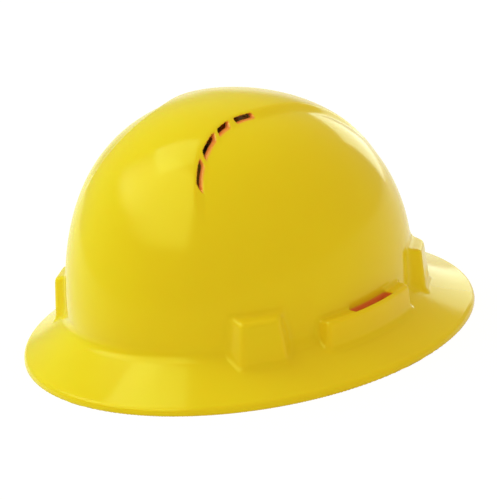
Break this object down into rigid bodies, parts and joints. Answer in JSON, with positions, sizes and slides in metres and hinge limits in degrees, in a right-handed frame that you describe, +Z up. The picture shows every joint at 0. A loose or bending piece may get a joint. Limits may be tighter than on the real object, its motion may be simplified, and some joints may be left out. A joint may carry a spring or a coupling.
{
  "type": "full brim hard hat",
  "caption": "Full brim hard hat: vented crown with a raised centre panel, side accessory slots, webbing suspension, padded headband and a ratchet knob at the nape.",
  "frame": {"origin": "on the plane that the brim's rim rests on, under the middle of the brim", "axes": "+Z up through the crown, -Y to the front of the hat, +X to the wearer's left"},
  "size_m": [0.273, 0.316, 0.1562],
  "materials": {
    "shell": "glossy yellow moulded plastic, slightly translucent",
    "suspension": "satin black moulded plastic",
    "ratchet": "fine-grained black plastic",
    "gear": "natural white acetal plastic",
    "screw": "zinc-plated steel",
    "webbing": "woven polyester webbing, dark grey",
    "pad": "brushed cloth over soft foam, dark grey"
  },
  "bodies": {
    "hat": {"shell": "shell", "front_left_key": "suspension", "front_right_key": "suspension", "back_left_key": "suspension", "back_right_key": "suspension", "front_left_crown_strap": "webbing", "front_right_crown_strap": "webbing", "headband": "suspension", "left_arm_guide": "suspension", "right_arm_guide": "suspension", "brow_pad": "pad", "nape_pad": "pad", "ratchet_housing": "ratchet", "ratchet_cover": "ratchet"},
    "knob": {"ratchet_knob": "ratchet", "ratchet_pinion": "gear", "click_spring": "gear", "knob_screw": "screw"},
    "left_arm": {"left_nape_arm": "suspension"},
    "right_arm": {"right_nape_arm": "suspension"}
  },
  "joints": [
    {"name": "knob_turn", "type": "hinge", "parent": "hat", "child": "knob", "pos_m": [0, 0.087, 0.022], "axis": [0, -1, 0], "range_deg": [-300, 300]},
    {"name": "left_arm_slide", "type": "hinge", "parent": "hat", "child": "left_arm", "pos_m": [0, 0.002, 0.022], "axis": [0, 0, 1], "range_deg": [-21.2, 21.2]},
    {"name": "right_arm_slide", "type": "hinge", "parent": "hat", "child": "right_arm", "pos_m": [0, 0.002, 0.022], "axis": [0, 0, 1], "range_deg": [-20.8, 20.8]}
  ],
  "couplings": [
    {"joint": "left_arm_slide", "follows": "knob_turn", "ratio": 0.070088},
    {"joint": "right_arm_slide", "follows": "knob_turn", "ratio": -0.068543}
  ]
}
